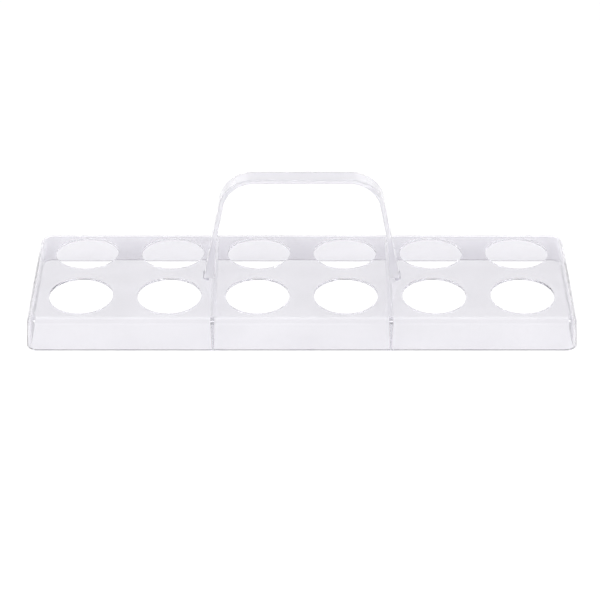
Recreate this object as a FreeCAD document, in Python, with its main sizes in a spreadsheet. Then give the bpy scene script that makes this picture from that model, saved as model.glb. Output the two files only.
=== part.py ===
import FreeCAD, Part
import math
import os

import Sketcher

# A carrier for twelve drinking glasses, moulded in clear plastic in two pieces:
#   glass_tray    an inverted open-bottomed tray; its top plate is slightly crowned from front to
#                 back and has two rows of six round holes, and two ribs under it part the inside
#                 into three bays
#   carry_handle  an arch whose two tongues snap down through slots in the plate, beside the ribs
# Millimetres, +Z up, +X along the length, -Y the front. The origin is the centre of the rim
# that the tray stands on.

DIMENSIONS = [
    # the tray's outside
    ("tray_length", 502.0, "outer length at the rim"),
    ("tray_depth", 161.0, "outer depth at the rim"),
    ("tray_height", 33.5, "rim to the top of the plate, along its middle"),
    ("block_height", 36.0, "the tray's block before its top is trimmed to the crown"),
    ("crown_radius", 1300.0, "curve of the plate's top from front to back"),
    ("skirt_draft", 3.0, "degrees the skirt leans in towards the plate"),
    ("corner_radius", 11.0, "upright corners of the skirt"),
    ("edge_radius", 8.0, "round between skirt and plate"),
    # the three bays inside
    ("plate_thick", 2.2, "thickness of the top plate"),
    ("skirt_thick", 3.0, "thickness of the skirt at the rim"),
    ("bay_draft", 2.0, "degrees the walls of a bay lean in towards the plate"),
    ("bay_corner_radius", 8.0, "upright corners of the two end bays"),
    ("bay_edge_radius", 5.0, "round between a bay's outer walls and the plate"),
    ("rib_thick", 1.8, "thickness of a rib at its lower edge"),
    # the glass holes
    ("hole_diameter", 58.5, "bore of a glass hole"),
    ("column_pitch", 81.0, "between hole centres along the length"),
    ("row_pitch", 76.5, "between the two rows"),
    ("hole_columns", 6, "holes along the length"),
    ("hole_rows", 2, "holes across the depth"),
    ("hole_round", 0.4, "rounded rims of the holes"),
    # the slots that take the handle
    ("slot_start", 83.2, "middle of the tray to the near end of a slot"),
    ("slot_length", 7.2, "slot size along X"),
    ("slot_width", 12.6, "slot size along Y"),
    # the handle
    ("arch_height", 103.4, "plate to the top of the handle"),
    ("arch_depth", 17.5, "handle size along Y"),
    ("strap_thick", 4.5, "thickness of the bar and of the upper legs"),
    ("bend_radius", 33.0, "outer radius of the two bends"),
    ("bar_half", 43.5, "middle of the bar to the start of a bend"),
    ("foot_outer", 91.0, "middle of the tray to the outside of a foot"),
    ("foot_inner", 80.6, "middle of the tray to the inside of a foot"),
    ("knee_height", 50.0, "plate to the place where a leg starts to thicken"),
    ("knee_radius", 160.0, "round of the inside of a leg at that place"),
    ("strap_round", 1.4, "rounded edges of the handle"),
    # the snap tongues below the feet
    ("tongue_gap", 0.2, "clearance of a tongue in its slot and of its hook under the plate"),
    ("tongue_thick", 4.2, "thickness of a tongue along X"),
    ("nose_thick", 2.4, "thickness of a tongue at its tip"),
    ("hook_reach", 1.6, "how far a hook stands out from its tongue"),
    ("hook_lip", 1.0, "height of the upright face of a hook"),
    ("hook_height", 3.0, "height of a hook with its sloping nose"),
]

AT_PLANE = 0.01  # how near an edge lies to the plane it is looked for in

doc = FreeCAD.newDocument("GlassCarrier")
sheet = doc.addObject("Spreadsheet::Sheet", "Dims")
for row, (alias, value, meaning) in enumerate(DIMENSIONS, start=1):
    sheet.set(f"A{row}", alias)
    sheet.set(f"B{row}", str(value))
    sheet.set(f"C{row}", meaning)
    sheet.setAlias(f"B{row}", alias)
doc.recompute()


def size(alias):
    """A driving dimension's value, for a curve's first position and for finding edges."""
    return float(sheet.get(alias))


def recomputed(feature):
    """Recomputes the document and returns the feature, unless it failed."""
    doc.recompute()
    if {"Invalid", "Error"} & set(feature.State) or not feature.Shape.isValid():
        raise RuntimeError(f"{feature.Label} failed: {feature.State}")
    return feature


# --- Sketches -------------------------------------------------------------------------------


def plane_of(body, role):
    return next(f for f in body.Origin.OriginFeatures if f.Role == role)


def new_sketch(body, name, role):
    sketch = body.newObject("Sketcher::SketchObject", name)
    sketch.AttachmentSupport = [(plane_of(body, role), "")]
    sketch.MapMode = "FlatFace"
    return sketch


def tie(sketch, kind, *where):
    """Adds a geometric constraint."""
    return sketch.addConstraint(Sketcher.Constraint(kind, *where))


def drive(sketch, expression, kind, *where):
    """Adds a dimension and binds it to the sheet."""
    sketch.setExpression(f"Constraints[{tie(sketch, kind, *where)}]", expression)


def place(sketch, line, end, across=None, up=None):
    """Binds the coordinates of a line's end, measured from the sketch's origin."""
    spot = sketch.getPoint(line, end)
    if across:
        drive(sketch, across, "DistanceX", -1, 1, line, end, spot.x)
    if up:
        drive(sketch, up, "DistanceY", -1, 1, line, end, spot.y)


def arc(centre, radius, start, end):
    up = FreeCAD.Vector(0, 0, 1)
    return Part.ArcOfCircle(Part.Circle(centre, up, radius), start, end)


def at_angle(centre, radius, angle):
    return centre + FreeCAD.Vector(math.cos(angle), math.sin(angle), 0) * radius


def polygon(sketch, corners):
    """A closed outline of straight lines. Each corner is its two bound coordinates."""
    count = len(corners)
    turn = 2 * math.pi / count
    # The corners start on a circle, and the solver then moves each one to its place.
    first = [FreeCAD.Vector(math.cos(k * turn), math.sin(k * turn), 0) for k in range(count)]
    lines = [
        sketch.addGeometry(Part.LineSegment(first[k], first[(k + 1) % count]), False)
        for k in range(count)
    ]
    for k, (across, up) in enumerate(corners):
        tie(sketch, "Coincident", lines[k - 1], 2, lines[k], 1)
        place(sketch, lines[k], 1, across, up)


def rectangle(sketch, left, right, front, back):
    polygon(sketch, [(left, front), (right, front), (right, back), (left, back)])


# --- Features -------------------------------------------------------------------------------


def pad(body, name, profile, length, side="One side"):
    feature = body.newObject("PartDesign::Pad", name)
    feature.Profile = profile
    feature.SideType = side
    feature.setExpression("Length", length)
    return recomputed(feature)


def pocket(body, name, profile, depth=None, side="One side"):
    """Cuts the way the sketch's plane faces, to a bound depth or through everything."""
    before = body.Shape.Volume
    feature = body.newObject("PartDesign::Pocket", name)
    feature.Profile = profile
    feature.Reversed = True
    feature.SideType = side
    if depth:
        feature.setExpression("Length", depth)
    else:
        feature.Type = "ThroughAll"
    recomputed(feature)
    if feature.Shape.Volume > before - 1:
        raise RuntimeError(f"{name} cuts nothing")
    return feature


def passing(kind, items, wanted):
    """The names, such as Edge7, of the edges or faces that pass a test."""
    names = [f"{kind}{i}" for i, item in enumerate(items, start=1) if wanted(item)]
    if not names:
        raise RuntimeError(f"no {kind} passes {wanted.__name__}")
    return names


def lean(body, name, base, wanted, angle, of_hollow=False):
    """Leans upright faces about the plane of the rim, inwards as they rise. That takes material
    from an outside, and adds it to the walls of a hollow."""
    feature = body.newObject("PartDesign::Draft", name)
    feature.Base = (base, passing("Face", base.Shape.Faces, wanted))
    feature.NeutralPlane = (plane_of(body, "XY_Plane"), [""])
    feature.Reversed = of_hollow
    feature.setExpression("Angle", angle)
    recomputed(feature)
    if (feature.Shape.Volume > base.Shape.Volume) != of_hollow:
        raise RuntimeError(f"{name} leans the wrong way")
    return feature


def fillet(body, name, base, wanted, radius):
    feature = body.newObject("PartDesign::Fillet", name)
    feature.Base = (base, passing("Edge", base.Shape.Edges, wanted))
    feature.setExpression("Radius", radius)
    return recomputed(feature)


def is_upright(face):
    return abs(face.normalAt(0, 0).z) < AT_PLANE


def is_tall(edge):
    """Whether an edge rises from the rim's plane to the plate."""
    return abs(edge.BoundBox.ZMin) < AT_PLANE and edge.BoundBox.ZMax > size("tray_height") / 2


def crown_drop(across):
    """How far below its middle the crown is, at a distance in front of or behind it."""
    return size("crown_radius") - math.sqrt(size("crown_radius") ** 2 - across**2)


def reach(edge):
    """How far an edge gets from the middle of the length."""
    return max(abs(edge.BoundBox.XMin), abs(edge.BoundBox.XMax))


# --- The tray -------------------------------------------------------------------------------


def over_crown(sketch, radius, half_width, now):
    """Outlines, across the tray, all that lies over an arc about the crown's centre, up to the
    top of the block. The radius and half width now are for the outline's first position."""
    radius_now, half_now = now
    centre = FreeCAD.Vector(0, size("tray_height") - size("crown_radius"), 0)
    top = size("block_height")
    spread = math.asin(half_now / radius_now)
    start, end = math.pi / 2 - spread, math.pi / 2 + spread
    crown = sketch.addGeometry(arc(centre, radius_now, start, end), False)
    corners = [
        at_angle(centre, radius_now, end),
        FreeCAD.Vector(-half_now, top, 0),
        FreeCAD.Vector(half_now, top, 0),
        at_angle(centre, radius_now, start),
    ]
    sides = [
        sketch.addGeometry(Part.LineSegment(*ends), False) for ends in zip(corners, corners[1:])
    ]
    chain = [crown, *sides]
    for here, after in zip(chain, [*sides, crown]):
        tie(sketch, "Coincident", here, 2, after, 1)
    for side in (sides[0], sides[2]):
        tie(sketch, "Vertical", side)
    place(sketch, sides[1], 1, f"-({half_width})", "Dims.block_height")
    place(sketch, sides[1], 2, half_width, "Dims.block_height")
    place(sketch, crown, 3, "0", "Dims.tray_height - Dims.crown_radius")
    drive(sketch, radius, "Radius", crown, radius_now)


def make_tray():
    """Walls and ribs first, then a plate across them, and then the crown over all of it."""
    tray = doc.addObject("PartDesign::Body", "glass_tray")
    tray.Label = "glass_tray"
    outline = new_sketch(tray, "rim_outline", "XY_Plane")
    half_length, half_depth = "Dims.tray_length / 2", "Dims.tray_depth / 2"
    rectangle(outline, f"-{half_length}", half_length, f"-{half_depth}", half_depth)
    block = pad(tray, "block", outline, "Dims.block_height")
    lean(tray, "skirt_lean", block, is_upright, "Dims.skirt_draft")
    cut_bays(tray)
    plate = add_plate(tray)
    round_skirt(tray, round_bays(tray, plate))
    cut_holes(tray)
    cut_slots(tray)
    return tray


def cut_bays(tray):
    """Cuts three bays right through the block, which leaves the skirt and two ribs."""
    wall_end = "(Dims.tray_length / 2 - Dims.skirt_thick)"
    wall_side = "(Dims.tray_depth / 2 - Dims.skirt_thick)"
    rib_near = "(Dims.column_pitch - Dims.rib_thick / 2)"
    rib_far = "(Dims.column_pitch + Dims.rib_thick / 2)"
    plan = new_sketch(tray, "bay_outlines", "XY_Plane")
    for left, right in (
        (f"-{wall_end}", f"-{rib_far}"),
        (f"-{rib_near}", rib_near),
        (rib_far, wall_end),
    ):
        rectangle(plan, left, right, f"-{wall_side}", wall_side)
    hollow = pocket(tray, "bays", plan)
    lean(tray, "bay_lean", hollow, is_upright, "Dims.bay_draft", of_hollow=True)


def add_plate(tray):
    """Closes the bays with the plate, whose edges are inside the skirt, and trims the top of
    plate and skirt to the crown."""
    under = new_sketch(tray, "plate_section", "YZ_Plane")
    half_width = "Dims.tray_depth / 2 - Dims.skirt_thick"
    now = size("crown_radius") - size("plate_thick"), size("tray_depth") / 2 - size("skirt_thick")
    over_crown(under, "Dims.crown_radius - Dims.plate_thick", half_width, now)
    pad(tray, "plate", under, "Dims.tray_length - 2 * Dims.skirt_thick", "Symmetric")

    over = new_sketch(tray, "crown_section", "YZ_Plane")
    now = size("crown_radius"), size("tray_depth") / 2
    over_crown(over, "Dims.crown_radius", "Dims.tray_depth / 2", now)
    return pocket(tray, "crown", over, "Dims.tray_length", "Symmetric")


def round_bays(tray, shell):
    """Rounds each bay's outer walls into each other and into the plate."""
    end_bay = 2 * size("column_pitch")
    wall_end = size("tray_length") / 2 - size("skirt_thick")
    wall_side = size("tray_depth") / 2 - size("skirt_thick")

    def is_end_corner(edge):
        return is_tall(edge) and end_bay < reach(edge) < wall_end + AT_PLANE

    rounded = fillet(tray, "bay_corners", shell, is_end_corner, "Dims.bay_corner_radius")
    middle = size("tray_height") - size("plate_thick")

    def is_outer_ceiling_edge(edge):
        box = edge.BoundBox
        beside_rib = box.XLength < size("rib_thick") and reach(edge) < end_bay
        in_bay = box.YMax < wall_side and box.YMin > -wall_side
        is_high = box.ZMin > middle - crown_drop(wall_side) - AT_PLANE
        return is_high and box.ZMax < middle + AT_PLANE and in_bay and not beside_rib

    return fillet(tray, "bay_edges", rounded, is_outer_ceiling_edge, "Dims.bay_edge_radius")


def round_skirt(tray, shell):
    """Rounds the skirt's upright corners, and then the edge between skirt and plate."""
    lowest = size("tray_height") - crown_drop(size("tray_depth") / 2)

    def is_corner(edge):
        return is_tall(edge) and reach(edge) > size("tray_length") / 2 - AT_PLANE

    corners = fillet(tray, "skirt_corners", shell, is_corner, "Dims.corner_radius")

    def is_top_edge(edge):
        return edge.BoundBox.ZMin > lowest

    return fillet(tray, "skirt_edge", corners, is_top_edge, "Dims.edge_radius")


def cut_holes(tray):
    """The two rows of round holes, with rounded rims."""
    first = new_sketch(tray, "first_hole_outline", "XY_Plane")
    start = FreeCAD.Vector(
        -size("column_pitch") * (size("hole_columns") - 1) / 2,
        -size("row_pitch") * (size("hole_rows") - 1) / 2,
        0,
    )
    up = FreeCAD.Vector(0, 0, 1)
    circle = first.addGeometry(Part.Circle(start, up, size("hole_diameter") / 2), False)
    place(
        first,
        circle,
        3,
        "-Dims.column_pitch * (Dims.hole_columns - 1) / 2",
        "-Dims.row_pitch * (Dims.hole_rows - 1) / 2",
    )
    drive(first, "Dims.hole_diameter", "Diameter", circle, size("hole_diameter"))
    hole = pocket(tray, "first_hole", first)

    grid = tray.newObject("PartDesign::LinearPattern", "hole_grid")
    grid.Originals = [hole]
    grid.Direction = (first, ["H_Axis"])
    grid.Direction2 = (first, ["V_Axis"])
    grid.setExpression("Length", "Dims.column_pitch * (Dims.hole_columns - 1)")
    grid.setExpression("Length2", "Dims.row_pitch * (Dims.hole_rows - 1)")
    grid.setExpression("Occurrences", "Dims.hole_columns")
    grid.setExpression("Occurrences2", "Dims.hole_rows")
    tray.Tip = grid
    recomputed(grid)

    def is_hole_rim(edge):
        return edge.isClosed() and abs(edge.BoundBox.XLength - size("hole_diameter")) < 1

    return fillet(tray, "hole_rims", grid, is_hole_rim, "Dims.hole_round")


def cut_slots(tray):
    """A slot each side for the handle's tongues, just outside the ribs."""
    plan = new_sketch(tray, "slot_outlines", "XY_Plane")
    near = "Dims.slot_start"
    far = "(Dims.slot_start + Dims.slot_length)"
    for left, right in ((f"-{far}", f"-{near}"), (near, far)):
        rectangle(plan, left, right, "-Dims.slot_width / 2", "Dims.slot_width / 2")
    return pocket(tray, "slots", plan)


# --- The handle -----------------------------------------------------------------------------


def make_handle():
    handle = doc.addObject("PartDesign::Body", "carry_handle")
    handle.Label = "carry_handle"
    # The handle's own origin is on the plate, in the middle of the tray.
    handle.setExpression("Placement.Base.z", "Dims.tray_height")
    arch = pad(handle, "half_arch", half_arch_outline(handle), "Dims.arch_depth", "Symmetric")
    tongue = pad(
        handle,
        "tongue",
        tongue_outline(handle),
        "Dims.slot_width - 2 * Dims.tongue_gap",
        "Symmetric",
    )
    whole = handle.newObject("PartDesign::Mirrored", "whole_arch")
    whole.Originals = [arch, tongue]
    whole.MirrorPlane = (plane_of(handle, "YZ_Plane"), [""])
    handle.Tip = whole
    recomputed(whole)
    side = size("arch_depth") / 2

    def is_strap_edge(edge):
        box = edge.BoundBox
        on_side = abs(abs(box.YMin) - side) < AT_PLANE and box.YLength < AT_PLANE
        return on_side and box.ZMax > size("strap_thick")

    fillet(handle, "strap_edges", whole, is_strap_edge, "Dims.strap_round")
    return handle


def touch_angle(centre, radius, point):
    """The angle, seen from a circle's centre, where the line from a point below touches it."""
    away = point - centre
    return math.atan2(away.y, away.x) + math.acos(radius / away.Length)


def half_arch_outline(handle):
    """The right half of the arch, seen from the front: half the bar, a bend, and a leg that
    keeps the strap's thickness down to the knee and then widens to its foot."""
    outline = new_sketch(handle, "half_arch_outline", "XZ_Plane")
    top, thick = size("arch_height"), size("strap_thick")
    outer, inner = size("bend_radius"), size("bend_radius") - size("strap_thick")
    knee = size("knee_radius")
    bend_centre = FreeCAD.Vector(size("bar_half"), top - outer, 0)
    foot_outer = FreeCAD.Vector(size("foot_outer"), 0, 0)
    foot_inner = FreeCAD.Vector(size("foot_inner"), 0, 0)
    leg_angle = touch_angle(bend_centre, outer, foot_outer)
    outer_touch = at_angle(bend_centre, outer, leg_angle)
    inner_touch = at_angle(bend_centre, inner, leg_angle)
    drop = inner_touch.y - size("knee_height")
    knee_start = inner_touch + FreeCAD.Vector(drop * math.tan(leg_angle), -drop, 0)
    knee_centre = at_angle(knee_start, -knee, leg_angle)
    foot_angle = touch_angle(knee_centre, knee, foot_inner)
    knee_end = at_angle(knee_centre, knee, foot_angle)

    def line(start, end):
        return outline.addGeometry(Part.LineSegment(start, end), False)

    middle_top = FreeCAD.Vector(0, top, 0)
    middle_under = FreeCAD.Vector(0, top - thick, 0)
    bar_end = FreeCAD.Vector(size("bar_half"), top, 0)
    bar_end_under = FreeCAD.Vector(size("bar_half"), top - thick, 0)
    quarter = math.pi / 2
    bar_top = line(middle_top, bar_end)
    outer_bend = outline.addGeometry(arc(bend_centre, outer, leg_angle, quarter), False)
    outer_leg = line(outer_touch, foot_outer)
    foot = line(foot_outer, foot_inner)
    lower_leg = line(foot_inner, knee_end)
    knee_bend = outline.addGeometry(arc(knee_centre, knee, foot_angle, leg_angle), False)
    upper_leg = line(knee_start, inner_touch)
    inner_bend = outline.addGeometry(arc(bend_centre, inner, leg_angle, quarter), False)
    bar_under = line(bar_end_under, middle_under)
    middle = line(middle_under, middle_top)

    for here, end, after, start in (
        (bar_top, 2, outer_bend, 2),
        (outer_bend, 1, outer_leg, 1),
        (lower_leg, 2, knee_bend, 1),
        (knee_bend, 2, upper_leg, 1),
        (upper_leg, 2, inner_bend, 1),
        (inner_bend, 2, bar_under, 1),
    ):
        tie(outline, "Tangent", here, end, after, start)
    for here, after in (
        (outer_leg, foot),
        (foot, lower_leg),
        (bar_under, middle),
        (middle, bar_top),
    ):
        tie(outline, "Coincident", here, 2, after, 1)
    for level in (bar_top, foot, bar_under):
        tie(outline, "Horizontal", level)
    tie(outline, "Vertical", middle)
    tie(outline, "Parallel", outer_leg, upper_leg)
    tie(outline, "PointOnObject", bar_top, 1, -2)
    tie(outline, "PointOnObject", foot, 1, -1)
    tie(outline, "Coincident", outer_bend, 3, inner_bend, 3)
    drive(outline, "Dims.bend_radius", "Radius", outer_bend, outer)
    drive(outline, "Dims.knee_radius", "Radius", knee_bend, knee)
    place(outline, bar_top, 2, "Dims.bar_half", "Dims.arch_height")
    place(outline, bar_under, 2, up="Dims.arch_height - Dims.strap_thick")
    place(outline, foot, 1, "Dims.foot_outer")
    place(outline, foot, 2, "Dims.foot_inner")
    place(outline, upper_leg, 1, up="Dims.knee_height")
    return outline


def tongue_outline(handle):
    """A tongue that goes down through the plate, with a hook facing outwards under it. It
    stands at the far end of its slot, and the free space beside it lets the hook pass."""
    outline = new_sketch(handle, "tongue_outline", "XZ_Plane")
    outside = "Dims.slot_start + Dims.slot_length - Dims.tongue_gap"
    inside = f"{outside} - Dims.tongue_thick"
    hook_edge = f"{outside} + Dims.hook_reach"
    hook_top = "-Dims.plate_thick - Dims.tongue_gap"
    tip = f"{hook_top} - Dims.hook_height"
    polygon(
        outline,
        [
            (inside, "0"),
            (outside, "0"),
            (outside, hook_top),
            (hook_edge, hook_top),
            (hook_edge, f"{hook_top} - Dims.hook_lip"),
            (f"{inside} + Dims.nose_thick", tip),
            (inside, tip),
        ],
    )
    return outline


# --- Build and export -----------------------------------------------------------------------

pieces = [make_tray(), make_handle()]
doc.recompute()

for item in doc.Objects:
    if {"Invalid", "Error"} & set(item.State):
        raise RuntimeError(f"{item.Label} failed: {item.State}")

os.makedirs("parts", exist_ok=True)
for piece in pieces:
    shape = piece.Shape
    if shape.isNull() or not shape.isValid() or len(shape.Solids) != 1:
        raise RuntimeError(f"{piece.Label} isn't one valid solid")
    shape.exportStep(f"parts/{piece.Label}.step")
    box = shape.BoundBox
    print(f"{piece.Label}: {box.XLength:.1f} x {box.YLength:.1f} mm, z {box.ZMin:.1f} to {box.ZMax:.1f},")
    print(f"    {shape.Volume / 1000:.1f} cm3")
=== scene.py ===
"""A clear plastic carrier for twelve drinking glasses, on a white studio floor.

Both mouldings are the CAD's own solids. This script gives them their plastic, and adds the floor,
the lights and the camera. All lengths are in metres.
"""

import math

import bpy
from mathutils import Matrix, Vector

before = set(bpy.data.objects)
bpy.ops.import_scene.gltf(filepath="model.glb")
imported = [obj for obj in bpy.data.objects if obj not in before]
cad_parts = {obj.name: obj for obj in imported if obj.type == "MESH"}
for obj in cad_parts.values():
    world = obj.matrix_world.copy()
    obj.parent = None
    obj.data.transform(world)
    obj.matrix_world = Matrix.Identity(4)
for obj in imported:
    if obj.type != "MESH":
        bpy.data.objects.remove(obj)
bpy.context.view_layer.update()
scene = bpy.context.scene


# --- Node trees -----------------------------------------------------------------------------


class Tree:
    """A node tree and short ways to fill it."""

    def __init__(self, tree):
        self.tree = tree
        tree.nodes.clear()

    def node(self, kind, inputs=None, **settings):
        """Adds a node. An input is set to a value, or linked if it is given a socket."""
        made = self.tree.nodes.new(kind)
        for name, value in settings.items():
            setattr(made, name, value)
        for key, value in (inputs or {}).items():
            if isinstance(value, bpy.types.NodeSocket):
                self.tree.links.new(value, made.inputs[key])
            else:
                made.inputs[key].default_value = value
        return made

    def noise(self, where, scale, detail=2.0, roughness=0.5, distortion=0.0):
        inputs = {
            "Vector": where,
            "Scale": scale,
            "Detail": detail,
            "Roughness": roughness,
            "Distortion": distortion,
        }
        return self.node("ShaderNodeTexNoise", inputs).outputs["Fac"]

    def remap(self, value, low, high, to_low, to_high):
        inputs = {0: value, 1: low, 2: high, 3: to_low, 4: to_high}
        return self.node("ShaderNodeMapRange", inputs).outputs[0]

    def maths(self, operation, *values):
        inputs = dict(enumerate(values))
        return self.node("ShaderNodeMath", inputs, operation=operation).outputs[0]

    def mixed(self, share, colour, other):
        """A mix of two colours. The node's colour sockets are its seventh and eighth."""
        inputs = {0: share, 6: colour, 7: other}
        return self.node("ShaderNodeMix", inputs, data_type="RGBA").outputs[2]

    def stretched(self, where, scale):
        return self.node("ShaderNodeMapping", {"Vector": where, "Scale": scale}).outputs[0]

    def bump(self, height, distance, strength=1.0, below=None):
        inputs = {"Height": height, "Distance": distance, "Strength": strength}
        if below is not None:
            inputs["Normal"] = below
        return self.node("ShaderNodeBump", inputs).outputs[0]


# --- The plastic ----------------------------------------------------------------------------

REFRACTIVE_INDEX = 1.49
# The inside of the plastic absorbs what its tint lacks, this densely, over each metre.
DEPTH_TINT = (0.60, 0.595, 0.645, 1.0)
DEPTH_DENSITY = 3.2
# What each surface lets through of the light that falls on something behind it.
LIT_TINT = (0.97, 0.969, 0.975, 1.0)

ORANGE_PEEL_SIZE = 0.0035
ORANGE_PEEL_RELIEF = 0.000004
SCRATCH_RELIEF = 0.00001
# How fine the noise is along each axis, per metre. Both kinds run along the length.
SCRATCH_GRAIN = (60.0, 900.0, 900.0)
DRIFT_GRAIN = (9.0, 26.0, 26.0)
# The noise levels between which a scratch or a drift comes up.
SCRATCH_LEVELS = (0.70, 0.78)
DRIFT_LEVELS = (0.35, 0.7)
# Roughness where the plastic is clearest and haziest, and what a scratch adds.
LEAST_HAZE = 0.012
MOST_HAZE = 0.05
SCRATCH_HAZE = 0.12


def clear_plastic(name, wave_length, wave_height, clearest, cloudiest, clearness):
    """Polished clear plastic: a faint lavender tint that deepens along the inside of a wall,
    the slow waves that a mould leaves in a flat surface, a fine haze in drifts along the flow,
    and a few hairline scratches. Below a clearness of 1, the rest is milky in the same tint.

    Light that falls through the plastic onto something else isn't bent and takes only a faint
    tint, so the plastic throws a pale shadow."""
    material = bpy.data.materials.new(name)
    material.use_nodes = True
    tree = Tree(material.node_tree)
    where = tree.node("ShaderNodeTexCoord").outputs["Object"]

    waves = tree.noise(where, 1 / wave_length, detail=0.5)
    waved = tree.bump(waves, wave_height)
    orange_peel = tree.noise(where, 1 / ORANGE_PEEL_SIZE, detail=1.0)
    peeled = tree.bump(orange_peel, ORANGE_PEEL_RELIEF, below=waved)
    grain = tree.stretched(where, SCRATCH_GRAIN)
    scores = tree.noise(grain, 1.0, detail=4.0, roughness=0.7)
    scratches = tree.remap(scores, *SCRATCH_LEVELS, 0, 1)
    scratched = tree.bump(scratches, SCRATCH_RELIEF, strength=0.6, below=peeled)

    flow = tree.stretched(where, DRIFT_GRAIN)
    drifts = tree.noise(flow, 1.0, detail=5.0, distortion=0.8)
    haze = tree.remap(drifts, *DRIFT_LEVELS, LEAST_HAZE, MOST_HAZE)
    cloudiness = tree.remap(drifts, *DRIFT_LEVELS, 0, 1)
    tint = tree.mixed(cloudiness, clearest, cloudiest)
    roughness = tree.maths("ADD", haze, tree.maths("MULTIPLY", scratches, SCRATCH_HAZE))

    inputs = {
        "Base Color": tint,
        "Roughness": roughness,
        "IOR": REFRACTIVE_INDEX,
        "Transmission Weight": clearness,
        "Normal": scratched,
    }
    plastic = tree.node("ShaderNodeBsdfPrincipled", inputs)
    lit_through = tree.node("ShaderNodeBsdfTransparent", {"Color": LIT_TINT})
    rays = tree.node("ShaderNodeLightPath")
    surface = plastic
    for kind in ("Is Diffuse Ray", "Is Shadow Ray"):
        inputs = {0: rays.outputs[kind], 1: surface.outputs[0], 2: lit_through.outputs[0]}
        surface = tree.node("ShaderNodeMixShader", inputs)
    depth = tree.node("ShaderNodeVolumeAbsorption", {"Color": DEPTH_TINT, "Density": DEPTH_DENSITY})
    output = {"Surface": surface.outputs[0], "Volume": depth.outputs[0]}
    tree.node("ShaderNodeOutputMaterial", output)
    return material


PLASTICS = {
    "glass_tray": clear_plastic(
        "tray_plastic",
        wave_length=0.045,
        wave_height=0.00008,
        clearest=(0.820, 0.811, 0.847, 1.0),
        cloudiest=(0.782, 0.773, 0.807, 1.0),
        clearness=1.0,
    ),
    "carry_handle": clear_plastic(
        "handle_plastic",
        wave_length=0.040,
        wave_height=0.00003,
        clearest=(0.782, 0.775, 0.808, 1.0),
        cloudiest=(0.752, 0.745, 0.778, 1.0),
        clearness=0.68,
    ),
}
for node_name, plastic in PLASTICS.items():
    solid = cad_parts[node_name]
    solid.data.materials.clear()
    solid.data.materials.append(plastic)


# --- The studio -----------------------------------------------------------------------------

FLOOR_SIDE = 8.0
# The floor lies this far below the rim, so that the two surfaces don't coincide.
FLOOR_GAP = 0.0004
FIBRE_GRAIN = 350.0
FIBRE_LEVELS = (0.3, 0.7)
FIBRE_RELIEF = 0.0001
DARKEST_PAPER = 0.90
LIGHTEST_PAPER = 0.93


def add_floor():
    """A sheet of white paper, with its fibres just visible."""
    half = FLOOR_SIDE / 2
    mesh = bpy.data.meshes.new("floor")
    corners = [(-half, -half, 0), (half, -half, 0), (half, half, 0), (-half, half, 0)]
    mesh.from_pydata(corners, [], [(0, 1, 2, 3)])
    floor = bpy.data.objects.new("floor", mesh)
    scene.collection.objects.link(floor)
    floor.location.z = -FLOOR_GAP

    material = bpy.data.materials.new("floor_paper")
    material.use_nodes = True
    tree = Tree(material.node_tree)
    where = tree.node("ShaderNodeTexCoord").outputs["Object"]
    fibres = tree.noise(where, FIBRE_GRAIN, detail=4.0)
    shade = tree.remap(fibres, *FIBRE_LEVELS, DARKEST_PAPER, LIGHTEST_PAPER)
    colour = tree.node("ShaderNodeCombineColor", {0: shade, 1: shade, 2: shade}).outputs[0]
    inputs = {
        "Base Color": colour,
        "Roughness": 0.9,
        "Specular IOR Level": 0.1,
        "Normal": tree.bump(fibres, FIBRE_RELIEF, strength=0.3),
    }
    paper = tree.node("ShaderNodeBsdfPrincipled", inputs)
    tree.node("ShaderNodeOutputMaterial", {"Surface": paper.outputs[0]})
    mesh.materials.append(material)


# The room's shade at each height, from level (0) to overhead (1).
ROOM = (
    (0.0, 0.65),
    (0.12, 0.82),
    (0.40, 0.94),
    (0.45, 0.52),
    (0.51, 0.36),
    (0.70, 0.36),
    (0.90, 0.50),
)
# What every shade of the room is multiplied by.
ROOM_BRIGHTNESS = 1.64


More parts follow.
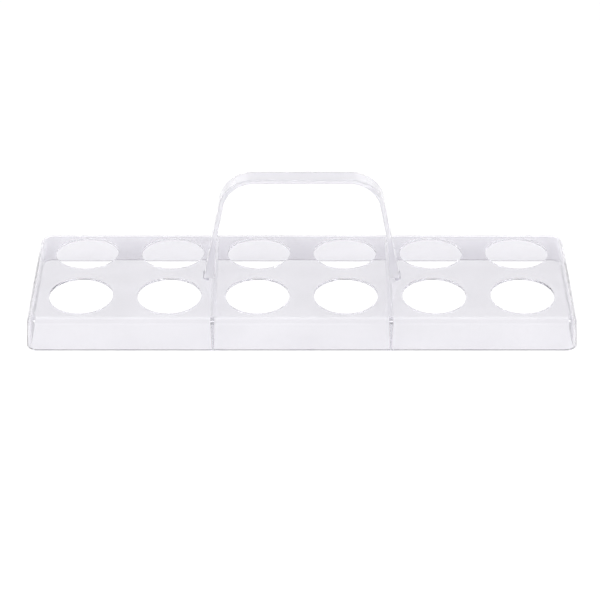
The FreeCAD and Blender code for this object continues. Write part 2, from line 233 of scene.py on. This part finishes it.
def add_sky():
    """A white sweep all round that is brightest near its top, a darker room over it, and a
    lighter ceiling."""
    world = bpy.data.worlds.new("room")
    world.use_nodes = True
    scene.world = world
    tree = Tree(world.node_tree)
    direction = tree.node("ShaderNodeTexCoord").outputs["Generated"]
    height = tree.node("ShaderNodeSeparateXYZ", {0: direction}).outputs["Z"]
    ramp = tree.node("ShaderNodeValToRGB", {"Fac": height})
    stops = ramp.color_ramp.elements
    while len(stops) < len(ROOM):
        stops.new(1.0)
    for stop, (place, shade) in zip(stops, ROOM):
        stop.position = place
        stop.color = (shade, shade, shade, 1.0)
    inputs = {"Color": ramp.outputs["Color"], "Strength": ROOM_BRIGHTNESS}
    background = tree.node("ShaderNodeBackground", inputs)
    tree.node("ShaderNodeOutputWorld", {"Surface": background.outputs[0]})


def add_softbox(name, where, size, power):
    """A rectangle of light that faces the carrier. Its size is in metres, its power in watts."""
    light = bpy.data.lights.new(name, "AREA")
    light.shape = "RECTANGLE"
    light.size, light.size_y = size
    light.energy = power
    lamp = bpy.data.objects.new(name, light)
    scene.collection.objects.link(lamp)
    lamp.location = where
    lamp.rotation_euler = (-Vector(where)).to_track_quat("-Z", "Y").to_euler()


def add_camera():
    """Looks down on the front at a long focal length, a little off the picture's centre."""
    elevation = math.radians(31.57)
    distance = 2.261
    target = Vector((0, 0, 0.015))
    data = bpy.data.cameras.new("camera")
    camera = bpy.data.objects.new("camera", data)
    scene.collection.objects.link(camera)
    back = Vector((0, -math.cos(elevation), math.sin(elevation)))
    camera.location = target + back * distance
    camera.rotation_euler = (-back).to_track_quat("-Z", "Y").to_euler()
    data.sensor_width = 36.0
    data.lens = 145.1
    data.shift_x, data.shift_y = -0.0030, -0.0165
    data.clip_start, data.clip_end = 0.05, 20.0
    scene.camera = camera


add_floor()
add_sky()
add_softbox("top_softbox", where=(0.0, 0.5, 1.7), size=(1.6, 1.2), power=6.0)
for side, place in (("left", -1.3), ("right", 1.3)):
    add_softbox(f"{side}_softbox", where=(place, -0.6, 1.1), size=(0.45, 0.6), power=6.3)
add_camera()

scene.view_settings.view_transform = "Standard"
scene.cycles.caustics_reflective = False
scene.cycles.caustics_refractive = False
# Light is led a long way inside the plate and the walls, and turns black if it is cut short.
BOUNCES = 48
scene.cycles.max_bounces = BOUNCES
scene.cycles.transmission_bounces = BOUNCES
scene.cycles.glossy_bounces = BOUNCES
scene.cycles.transparent_max_bounces = 24
